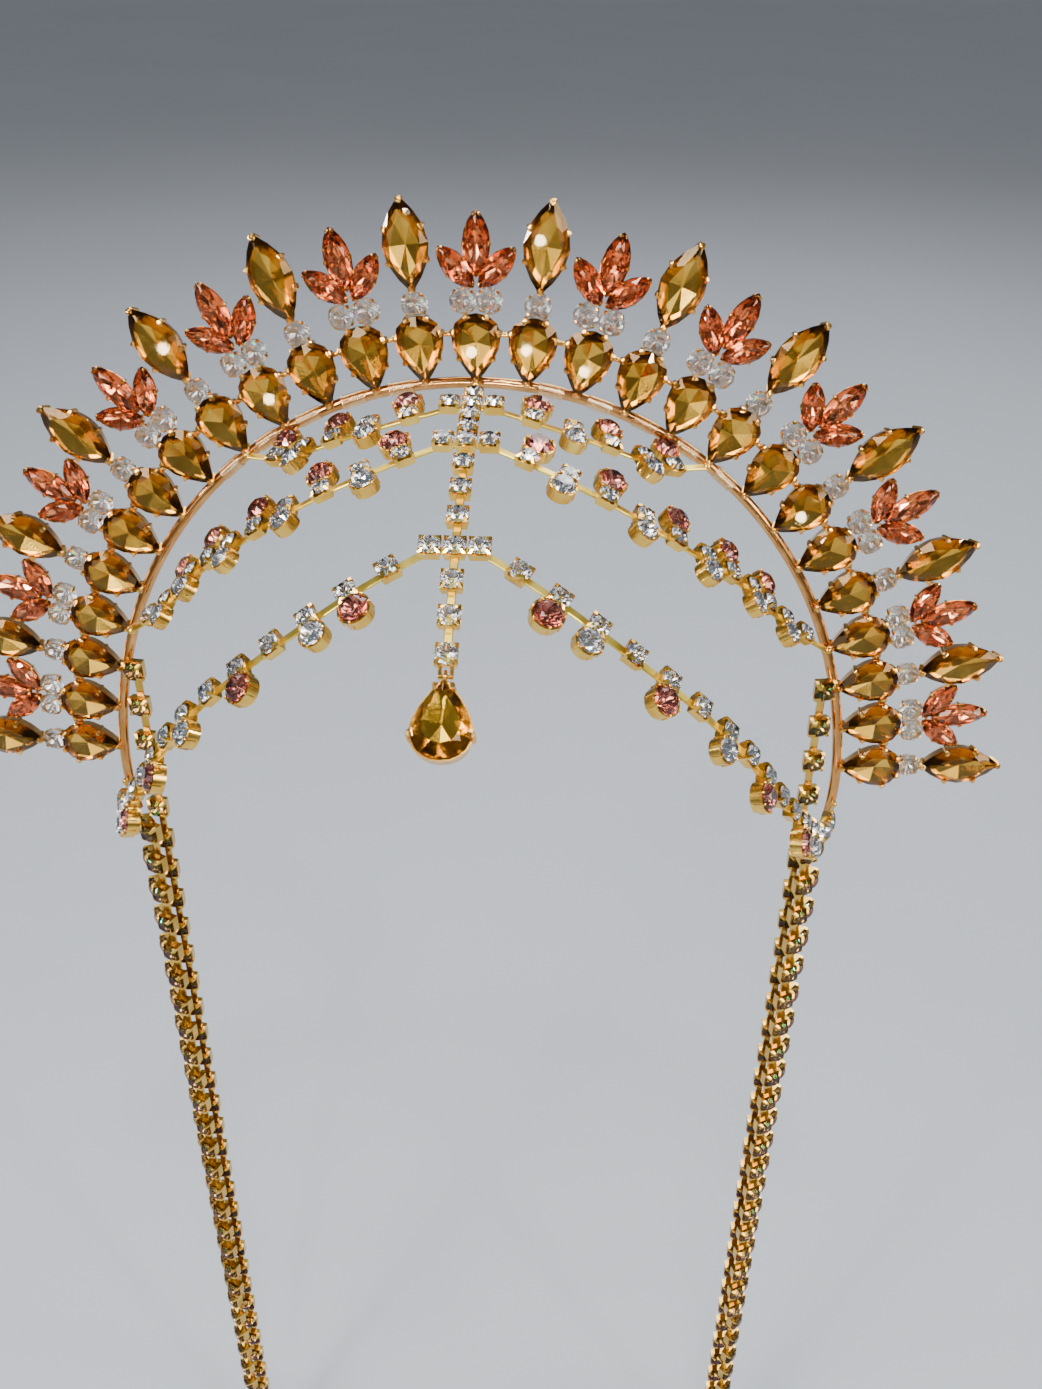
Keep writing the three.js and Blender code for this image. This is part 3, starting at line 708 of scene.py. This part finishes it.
def link_bar():
    """Flat link of unit length, its edges broken."""
    half, thick = BAR["width"] / 2, BAR["thick"] / 2
    section = [(half * u, thick * v) for u, v in BAR_CORNER]
    section += [(-half * u, thick * v) for u, v in reversed(BAR_CORNER)]
    section += [(-y, -z) for y, z in section]
    ends = [[Vector((x, y, z)) for y, z in section] for x in (-0.5, 0.5)]
    return shape("link_bar", [skin(ends)])


def bar_between(start, finish):
    """Place and length of a link between two points, its flat towards the front."""
    place = facing_place((start + finish) / 2, finish - start, dome_normal((start + finish) / 2))
    return place, (finish - start).length


def chain_bars(places):
    """Links at the cups' feet, from each place of a chain to the next."""
    feet = [place @ Vector((0, 0, BAR["height"])) for place in places]
    return [bar_between(start, finish) for start, finish in zip(feet, feet[1:])]


def set_out_bars(name, bars, finish, scale=1.0):
    """Links of a chain, each stretched to its own length."""
    stretches = [(length, scale, scale) for place, length in bars]
    return set_out(name, bar_mesh, [place for place, length in bars], finish, stretches=stretches)


def join(name, pieces):
    """One object of several pieces' meshes."""
    with bpy.context.temp_override(active_object=pieces[0], selected_editable_objects=pieces):
        bpy.ops.object.join()
    pieces[0].name = name
    return pieces[0]


def bead(point):
    """Solder bead at the end of a chain."""
    path = [point + Vector((0, 0, END_BEAD["radius"] * height)) for height, share in BEAD_PROFILE]
    return rod(path, [END_BEAD["radius"] * share for height, share in BEAD_PROFILE], END_BEAD["sides"])


def finish_object(name, mesh, material):
    """Object of a mesh that needs no setting out."""
    mesh.shade_smooth()
    mesh.set_sharp_from_angle(angle=BEAD_CREASE)
    mesh.materials.append(material)
    piece = bpy.data.objects.new(name, mesh)
    bpy.context.scene.collection.objects.link(piece)
    return piece


centre_points = [headband_front(0)]
for tilt in CENTRE_TILTS:
    y = DOME["middle"][1] - DOME["half"][1] * math.sin(math.radians(tilt))
    z = DOME["middle"][2] + DOME["half"][2] * math.cos(math.radians(tilt))
    centre_points.append((0, y, z))
centre_line = ChainLine(centre_points)
centre_places = []
for i in range(CENTRE["links"]):
    close = min(i, CENTRE["close_links"])
    arc = CENTRE["first"] + close * CENTRE["close_pitch"] + (i - close) * CENTRE["pitch"]
    centre_places.append(centre_line.place(arc))


def tee_place(tee, side):
    """Place of the cup at one end of a tee."""
    return centre_places[TEES[tee]] @ Matrix.Translation((0, side * TEE_REACH, 0))


chain_gold = plated_metal("chain_gold", CHAIN_GOLD)
link_brass = plated_metal("link_brass", LINK_BRASS)
clear_glass = cut_glass("clear_glass", CLEAR)
clear_foil = plated_metal("clear_foil", CLEAR_FOIL)
cup_mesh, bar_mesh = chain_cup(), link_bar()
chain_stone = cut_stone("chain_stone", CHAIN_STONE_FORM, CHAIN_STONE, CHAIN_STONE_POINTS)
chain_stone.transform(Matrix.Translation((0, -CHAIN_STONE_FORM["length"] / 2 * MM, 0)))
centre_cup_places = centre_places + [tee_place(tee, side) for tee in TEES for side in (-1, 1)]
centre_bars = chain_bars([Matrix.Translation(headband_front(0)), *centre_places])
for tee in TEES:
    centre_bars += chain_bars([tee_place(tee, -1), tee_place(tee, 1)])
last_place = centre_places[-1]
pin_parts = [bead(headband_front(0))]
for side in (-1, 1):
    ear = [(PIN["ahead"] - EAR["root"], side * EAR["across"], -PIN["below"]),
           (PIN["ahead"] + EAR["nose"], side * EAR["across"], -PIN["below"])]
    pin_parts.append(rod([last_place @ Vector(point) for point in ear], [EAR["radius"]] * 2, EAR["sides"]))
pin_ends = [last_place @ Vector((PIN["ahead"], side * PIN["half"], -PIN["below"])) for side in (-1, 1)]
pin_parts.append(rod(pin_ends, [PIN["radius"]] * 2, PIN["sides"]))
centre_metal = join("centre_chain_metal", [
    set_out("centre_cups", cup_mesh, centre_cup_places, chain_gold),
    set_out_bars("centre_bars", centre_bars, link_brass),
    finish_object("centre_pin", shape("centre_pin", pin_parts), chain_gold),
])
centre_stones = set_out("centre_chain_stones", chain_stone, centre_cup_places,
                        clear_glass, clear_foil, seed=11)
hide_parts("centre_chain")
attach(centre_metal, "crown")
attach(centre_stones, "crown")

# Swags: cup chain from each tee out over the front to the headband. Round drops, dusky pink
# or clear, are soldered to its cups in smooth collets with fine claws.
SWAG_PITCH = 7.1
SWAG_START = 1.0
SWAGS = {
    "upper": {"end": 5, "bare_end": 0, "drops": (("pink", "up"), ("clear", "down")),
              "route": ((10.5, -13.5, -0.2), (19, -13.4, -2.9), (27, -11.6, -6.5), (34, -7.5, -10.6))},
    "middle": {"end": 10, "bare_end": 1, "drops": (("pink", "up"), ("clear", "down")),
               "route": ((14.5, -28.3, -3.4), (26, -29.7, -8.7), (38, -27, -17.3), (48, -20.8, -26.5),
                         (56.5, -13.5, -37))},
    "lower": {"end": 13.9, "bare_end": 2,
              "drops": (None, ("pink", "down"), ("clear", "down"), None, ("pink", "down"), None,
                        ("clear", "down"), None, ("pink", "down"), None),
              "route": ((14.5, -52.5, -12.5), (26, -55.4, -20), (38, -55, -30.3), (47, -52, -41.2),
                        (54.5, -46.5, -54), (61.5, -37.5, -66.5), (67.5, -25.5, -77))},
}
DROPS = {"pink": {"form": "round", "length": 5.5, "width": 5.5, "middle": 0.5},
         "clear": {"form": "round", "length": 4.8, "width": 4.8, "middle": 0.5}}
DROP_FROM = 1.1
DROP_CUP = {"sides": 18, "back": -1.4, "rim": 0.75, "inset": 0, "wall": 0.35, "floor": 0.4, "taper": 0.93}
DROP_STONE = {"inset": 0.3, "culet": -1.2, "girdle": 0.85, "table": 1.9, "table_share": 0.6, "keel": 0.5}
DROP_POINTS = 8
DROP_CLAWS = (0.2, 0.98, 1.77, 2.55)
DROP_CLAW = {"radius": 0.17, "bead": 0.2, "over": 0.45, "lift": 0.25}
# The rose's bevel colour is a painted shade: a slightly darker rim that stands in for the collet mirrored in
# the glass.
ROSE = {"tones": ((0.76, 0.40, 0.34), (0.90, 0.54, 0.44)), "bevel_painted_shade": (0.80, 0.42, 0.36),
        "glint": (1.0, 0.72, 0.68), "film": 0}
ROSE_FOIL = {"tones": ((0.62, 0.33, 0.29), (0.88, 0.58, 0.50)), "roughness": 0.1}
rose_glass = cut_glass("rose_glass", ROSE)
rose_foil = plated_metal("rose_foil", ROSE_FOIL)
drop_settings, drop_stones = {}, {}
for colour, drop in DROPS.items():
    drop_settings[colour] = setting(f"{colour}_collet", drop, DROP_CUP, DROP_STONE["girdle"],
                                    DROP_CLAWS, DROP_CLAW)
    drop_stones[colour] = cut_stone(f"{colour}_drop", drop, DROP_STONE, DROP_POINTS)


def drop_place(place, side, edge):
    """Place of a drop on the upper or lower edge of a swag's cup."""
    reach = side if edge == "up" else -side
    turn = Matrix.Identity(4) if reach > 0 else Matrix.Rotation(math.pi, 4, "Z")
    return place @ turn @ Matrix.Translation((0, DROP_FROM, 0))


def swag(row, side, label):
    """One side's swag: its metal, its clear stones and its pink stones."""
    plan = SWAGS[row]
    points = [tee_place(row, side).translation]
    points += [Vector((side * x, y, z)) for x, y, z in plan["route"]]
    points.append(headband_front(side * plan["end"]))
    line = ChainLine(points)
    links = int((line.length - CUP["size"]) / SWAG_PITCH)
    cups = [line.place((i + 1) * SWAG_PITCH) for i in range(links)]
    bars = chain_bars([line.place(SWAG_START), *cups])
    bars.append(bar_between(cups[-1] @ Vector((0, 0, BAR["height"])), points[-1]))
    drops = {colour: [] for colour in DROPS}
    for i in range(links - plan["bare_end"]):
        drop = plan["drops"][i % len(plan["drops"])]
        if drop:
            drops[drop[0]].append(drop_place(cups[i], side, drop[1]))
    name = f"swag_{row}_{label}"
    metal = [set_out(f"{name}_cups", cup_mesh, cups, chain_gold)]
    metal.append(set_out_bars(f"{name}_bars", bars, link_brass))
    metal.append(finish_object(f"{name}_bead", shape(f"{name}_bead", [bead(points[-1])]), chain_gold))
    clear = [set_out(f"{name}_cup_stones", chain_stone, cups, clear_glass, clear_foil, seed=13)]
    for colour, places in drops.items():
        metal.append(set_out(f"{name}_{colour}_collets", drop_settings[colour], places, chain_gold))
    clear.append(set_out(f"{name}_clear_drops", drop_stones["clear"], drops["clear"],
                         clear_glass, clear_foil, seed=17))
    pink = set_out(f"{name}_pink_stones", drop_stones["pink"], drops["pink"], rose_glass, rose_foil, seed=19)
    metal = join(f"{name}_metal", metal)
    clear = join(f"{name}_clear_stones", clear)
    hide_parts(name)
    for piece in (metal, clear, pink):
        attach(piece, "crown")


for row in SWAGS:
    for side, label in ((-1, "left"), (1, "right")):
        swag(row, side, label)

# Pendant: a large amber pear in a closed polished cup, point up, with a broad claw on each
# side of its point and one on each lower flank. Its ring swings on the chain's pin.
PENDANT = {"form": "pear", "length": 12.7, "width": 9.2, "middle": 0.58}
PENDANT_FROM = 0.6
PENDANT_CUP = {"sides": 40, "back": -0.8, "rim": 1.5, "inset": 0, "wall": 0.32, "floor": 0.4, "taper": 0.95}
PENDANT_STONE = {"inset": 0.34, "culet": 0.7, "girdle": 1.75, "table": 3.2, "table_share": 0.64, "keel": 0}
PENDANT_POINTS = 12
PENDANT_CLAWS = (0.7, 1.98)
PENDANT_CLAW = {"radius": 0.52, "bead": 0.68, "over": 1.0, "lift": 0.5}
# The deep amber's bevel colour is a painted shade: a dark rim that stands in for the cup mirrored in the
# glass.
DEEP_AMBER = {"tones": ((0.92, 0.66, 0.17), (1.0, 0.80, 0.30)), "bevel_painted_shade": (0.66, 0.33, 0.06),
              "glint": AMBER["glint"], "film": 0}
DEEP_AMBER_FOIL = {"tones": ((0.80, 0.54, 0.09), (1.0, 0.80, 0.22)), "roughness": 0.08}
RING = {"radius": 0.85, "wire": 0.25, "steps": 28, "sides": 8}
pendant_place = last_place @ Matrix.Translation((PIN["ahead"], 0, -PIN["below"]))
pendant_place = pendant_place @ Matrix.Rotation(-math.pi / 2, 4, "Z")
pendant_cup_place = pendant_place @ Matrix.Translation((0, PENDANT_FROM, 0))
ring_angles = [2 * math.pi * i / RING["steps"] for i in range(RING["steps"] + 1)]
ring_round = [Vector((0, math.cos(angle), math.sin(angle))) for angle in ring_angles]
ring_line = [pendant_place @ (RING["radius"] * point) for point in ring_round]
pendant_mesh = setting("pendant_cup", PENDANT, PENDANT_CUP, PENDANT_STONE["girdle"],
                       PENDANT_CLAWS, PENDANT_CLAW)
pendant_metal = join("pendant_metal", [
    set_out("pendant_cup", pendant_mesh, [pendant_cup_place], setting_gold),
    grow("pendant_ring", wire_paths("ring_line", [ring_line]), drawn_wire,
         {"Radius": RING["wire"] * MM, "Sides": RING["sides"], "Finish": setting_gold}),
])
deep_amber = cut_glass("deep_amber", DEEP_AMBER)
deep_amber_foil = plated_metal("deep_amber_foil", DEEP_AMBER_FOIL)
pendant_cut = cut_stone("pendant_cut", PENDANT, PENDANT_STONE, PENDANT_POINTS)
pendant_glass = set_out("pendant_glass", pendant_cut, [pendant_cup_place],
                        deep_amber, deep_amber_foil, seed=23)
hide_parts("pendant_setting")
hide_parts("pendant_stone")
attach(pendant_metal, "pendant")
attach(pendant_glass, "pendant")

# Fringes: three strands of a heavier cup chain hang in a bundle from each end of the headband, with honey
# stones.
# Their brass, the stones' foil and a little of their glass are painted darker as painted shade, for the
# fringes hang in shade.
# The longest is tied to the wire higher up.
STRANDS = (
    {"x": 67.6, "y": -8.2, "top": -53.4, "bottom": -321, "facing": 8},
    {"x": 70.3, "y": -9.6, "top": -89.9, "bottom": -308.3, "facing": 50},
    {"x": 68.7, "y": -12, "top": -90.4, "bottom": -257.1, "facing": 28},
)
STRAND_END = 2.1
STRAND_PITCH = 8.48
STRAND_SCALE = 1.18
STRAND_TIE = {"motif": 11, "share": 0.6}
# Painted shade: this brass is darker than the crown's because the fringes hang in shade.
STRAND_BRASS_PAINTED_SHADE = {"tones": ((0.52, 0.30, 0.04), (0.78, 0.50, 0.12)), "roughness": 0.2}
# Painted shade: the honey glass is the stones' own champagne colour made a little darker, with its bevel
# colour darker still and the foil much darker, for fringes in shade.
HONEY_WITH_PAINTED_SHADE = {"tones": ((0.78, 0.62, 0.36), (0.96, 0.84, 0.62)), "bevel_painted_shade": (0.80, 0.62, 0.34),
         "glint": (1.0, 0.82, 0.58), "film": CRYSTAL["film"]}
HONEY_FOIL_PAINTED_SHADE = {"tones": ((0.40, 0.27, 0.10), (0.74, 0.57, 0.30)), "roughness": 0.1}


def strand_places(strand, side):
    """Places of one strand's cups, hanging straight down."""
    angle = math.radians(strand["facing"])
    facing = Vector((side * math.sin(angle), -math.cos(angle), 0))
    height = strand["bottom"] + STRAND_END
    places = []
    while height < strand["top"] - STRAND_END:
        point = Vector((side * strand["x"], strand["y"], height))
        places.append(facing_place(point, Vector((0, 0, -1)), facing))
        height += STRAND_PITCH
    return places


def strand_bars(places):
    """Links between a strand's cups, along their feet."""
    feet = [place @ Vector((0, 0, BAR["height"] * STRAND_SCALE)) for place in places]
    bars = []
    for place, start, finish in zip(places, feet, feet[1:]):
        middle = place.copy()
        middle.translation = (start + finish) / 2
        bars.append((middle, (finish - start).length))
    return bars


honey_glass_with_painted_shade = cut_glass("honey_glass_with_painted_shade", HONEY_WITH_PAINTED_SHADE)
honey_foil_painted_shade = plated_metal("honey_foil_painted_shade", HONEY_FOIL_PAINTED_SHADE)
strand_brass_painted_shade = plated_metal("strand_brass_painted_shade", STRAND_BRASS_PAINTED_SHADE)
for side, label in ((-1, "left"), (1, "right")):
    cups, bars = [], []
    for strand in STRANDS:
        places = strand_places(strand, side)
        cups += places
        bars += strand_bars(places)
    stretches = [(STRAND_SCALE, STRAND_SCALE, STRAND_SCALE)] * len(cups)
    name = f"fringe_{label}"
    highest = strand_places(STRANDS[0], side)[-1].translation
    wire_point = headband_place(side * STRAND_TIE["motif"] * MOTIF_PITCH).translation
    tie = highest.lerp(wire_point, STRAND_TIE["share"])
    metal = join(f"{name}_metal", [
        set_out(f"{name}_cups", cup_mesh, cups, strand_brass_painted_shade, stretches=stretches),
        set_out_bars(f"{name}_bars", bars, strand_brass_painted_shade, STRAND_SCALE),
        finish_object(f"{name}_tie", shape(f"{name}_tie", [bead(tie)]), chain_gold),
    ])
    stones = set_out(f"{name}_stones", chain_stone, cups, honey_glass_with_painted_shade, honey_foil_painted_shade, stretches, seed=29)
    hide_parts(name)
    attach(metal, "crown")
    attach(stones, "crown")

# Floor: a plain pale sheet of matt paper a little below the fringes, wide enough to run
# out of sight on every side. Its sizes are in metres.
FLOOR = {"height": -0.345, "radius": 14.0, "sides": 72}
PAPER = {"tones": ((0.40, 0.43, 0.47), (0.44, 0.47, 0.51)), "cloud_scale": 3, "roughness": 0.8}
floor_points = []
for i in range(FLOOR["sides"]):
    angle = 2 * math.pi * i / FLOOR["sides"]
    x, y = FLOOR["radius"] * math.cos(angle), FLOOR["radius"] * math.sin(angle)
    floor_points.append((x, y, FLOOR["height"]))
floor_mesh = bpy.data.meshes.new("floor")
floor_mesh.from_pydata(floor_points, [], [range(FLOOR["sides"])])
floor_paper, paper_nodes, paper_links, paper_shader = new_material("floor_paper")
paper_place = paper_nodes.new("ShaderNodeTexCoord")
paper_cloud = paper_nodes.new("ShaderNodeTexNoise")
paper_cloud.inputs["Scale"].default_value = PAPER["cloud_scale"]
paper_tone = paper_nodes.new("ShaderNodeValToRGB")
for stop, colour in zip(paper_tone.color_ramp.elements, PAPER["tones"]):
    stop.color = (*colour, 1)
paper_shader.inputs["Roughness"].default_value = PAPER["roughness"]
paper_links.new(paper_place.outputs["Object"], paper_cloud.inputs["Vector"])
paper_links.new(paper_cloud.outputs["Fac"], paper_tone.inputs["Fac"])
paper_links.new(paper_tone.outputs["Color"], paper_shader.inputs["Base Color"])
floor_mesh.materials.append(floor_paper)
floor = bpy.data.objects.new("floor", floor_mesh)
bpy.context.scene.collection.objects.link(floor)

# Light: soft round lamps over the front, on the right, low in front, above and behind, an
# even light from the ceiling, and small bright lamps that give the stones their sparkle.
# Each has its place and its size across in metres, its power and its colour.
LIGHTS = [
    ("key", (-0.55, -0.75, 0.95), 0.5, 12, (1.0, 0.97, 0.93)),
    ("top_left", (-0.4, 0.75, 1.0), 0.45, 3.5, (1.0, 0.99, 0.97)),
    ("top_right", (0.4, 0.75, 1.0), 0.45, 3.5, (1.0, 0.99, 0.97)),
    ("fill", (0.95, -0.55, 0.45), 0.45, 6, (1.0, 0.93, 0.84)),
    ("back", (0.2, 1.1, 0.9), 0.8, 10, (0.93, 0.96, 1.0)),
    ("spark_left", (-0.35, -0.5, 0.35), 0.05, 1.6, WHITE),
    ("spark_right", (0.4, -0.45, 0.5), 0.05, 1.6, WHITE),
    ("spark_top", (0.05, -0.35, 0.75), 0.06, 2.0, WHITE),
    ("front_left", (-0.75, -0.75, 0.3), 0.45, 1.1, (1.0, 0.98, 0.95)),
    ("front_right", (0.75, -0.75, 0.3), 0.45, 1.1, (1.0, 0.98, 0.95)),
    ("spark_low", (-0.05, -0.7, 0.15), 0.06, 1.6, WHITE),
    ("spark_side", (-0.75, -0.15, 0.2), 0.06, 1.6, WHITE),
    ("spark_far", (0.7, -0.1, 0.25), 0.06, 1.6, WHITE),
]
GLINT = {"size": 0.008, "power": 0.02, "colour": (0.94, 0.98, 1.0)}
GLINT_SPOTS = ((-0.059, -0.795, -0.078), (-0.017, -0.797, -0.076), (0.028, -0.796, -0.091),
               (-0.008, -0.799, 0.004), (-0.213, -0.775, -0.114), (0.2, -0.773, -0.195),
               (-0.288, -0.762, -0.077))
CEILING = {"power": 0.6, "angle": 8, "colour": (1.0, 0.96, 0.93)}
STUDIO = {"colour": (0.55, 0.60, 0.68), "strength": 0.25}
LIGHT_AIM = Vector((0, -0.02, -0.05))
for i, spot in enumerate(GLINT_SPOTS):
    LIGHTS.append((f"glint_{i}", spot, GLINT["size"], GLINT["power"], GLINT["colour"]))
for name, spot, size, power, colour in LIGHTS:
    lamp = bpy.data.lights.new(name, "AREA")
    lamp.shape = "DISK"
    lamp.size = size
    lamp.energy = power
    lamp.color = colour
    light = bpy.data.objects.new(name, lamp)
    light.location = spot
    light.rotation_euler = (LIGHT_AIM - Vector(spot)).to_track_quat("-Z", "Y").to_euler()
    bpy.context.scene.collection.objects.link(light)
ceiling = bpy.data.lights.new("ceiling", "SUN")
ceiling.energy = CEILING["power"]
ceiling.color = CEILING["colour"]
ceiling.angle = math.radians(CEILING["angle"])
bpy.context.scene.collection.objects.link(bpy.data.objects.new("ceiling", ceiling))
world = bpy.data.worlds.new("studio")
world.use_nodes = True
backdrop = world.node_tree.nodes["Background"]
backdrop.inputs["Color"].default_value = (*STUDIO["colour"], 1)
backdrop.inputs["Strength"].default_value = STUDIO["strength"]
bpy.context.scene.world = world

# Camera: close in front of the crown and a little above it, looking down at the pendant,
# from where the photograph was taken.
CAMERA_PLACE = Vector((16.3, -222.9, 79.3)) * MM
CAMERA_LOOK = Vector((-0.0296, 0.8401, -0.5417))
CAMERA_ROLL = math.radians(0.6)
CAMERA_LENS = 33.7
CAMERA_CLIP = 0.01
camera = bpy.data.objects.new("camera", bpy.data.cameras.new("camera"))
camera.data.lens = CAMERA_LENS
camera.data.clip_start = CAMERA_CLIP
camera.location = CAMERA_PLACE
view_turn = CAMERA_LOOK.to_track_quat("-Z", "Y") @ Quaternion((0, 0, 1), CAMERA_ROLL)
camera.rotation_euler = view_turn.to_euler()
bpy.context.scene.collection.objects.link(camera)
bpy.context.scene.camera = camera
